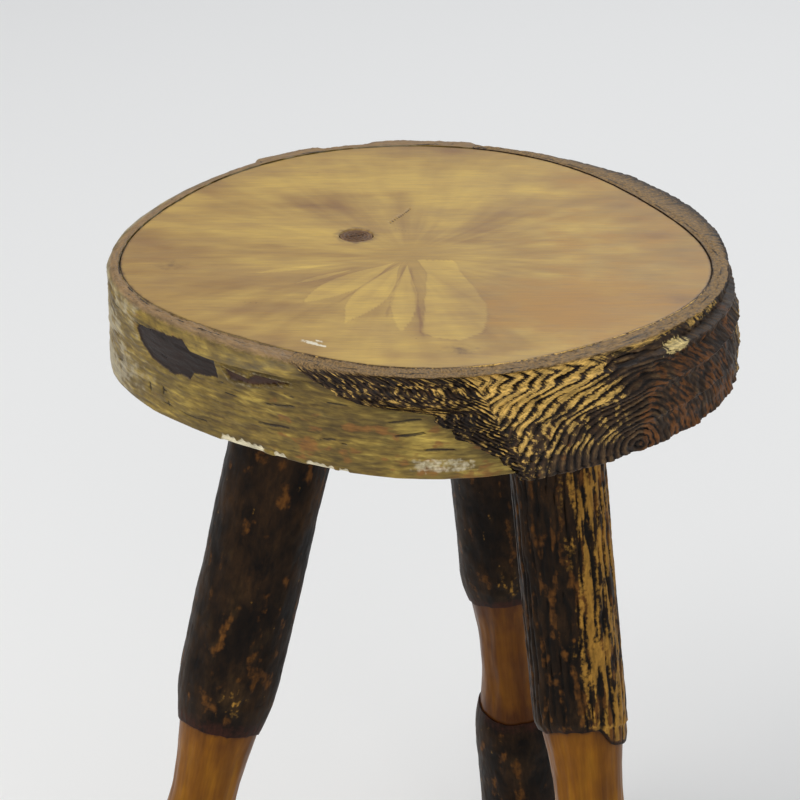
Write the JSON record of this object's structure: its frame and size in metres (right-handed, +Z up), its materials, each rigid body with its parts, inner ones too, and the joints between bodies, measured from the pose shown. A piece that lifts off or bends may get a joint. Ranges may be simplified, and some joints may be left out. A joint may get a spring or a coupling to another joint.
{
  "type": "three legged stool",
  "caption": "Rustic stool: a log slice seat with its bark on, standing on three splayed round legs with barked ends and carved waists.",
  "frame": {"origin": "on the floor, under the middle of the stool's bounding box", "axes": "+Z up from the floor to the sitting face; -Y towards the side with the seam between smooth and rough bark; +X towards the rough bark, to a viewer who faces that side"},
  "size_m": [0.3186, 0.313, 0.43],
  "materials": {
    "seat_wood": "satin varnish over end grain",
    "smooth_bark": "smooth birch-like bark with lenticels, varnished",
    "rough_bark": "deeply fissured bark, varnished",
    "knot_wood": "dark dead knot, varnished",
    "leg_wood": "drawn wood under satin varnish",
    "leg_bark": "dark bark under satin varnish",
    "wedge_wood": "raw split wedge"
  },
  "bodies": {
    "root": {"seat_wood": "seat_wood", "seat_bark_smooth": "smooth_bark", "seat_bark_rough": "rough_bark", "seat_knot": "knot_wood", "left_leg_core": "leg_wood", "left_leg_upper_bark": "leg_bark", "left_leg_lower_bark": "leg_bark", "left_leg_wedge": "wedge_wood", "right_leg_core": "leg_wood", "right_leg_upper_bark": "leg_bark", "right_leg_lower_bark": "leg_bark", "right_leg_wedge": "wedge_wood", "back_leg_core": "leg_wood", "back_leg_upper_bark": "leg_bark", "back_leg_lower_bark": "leg_bark", "back_leg_wedge": "wedge_wood"}
  },
  "joints": []
}
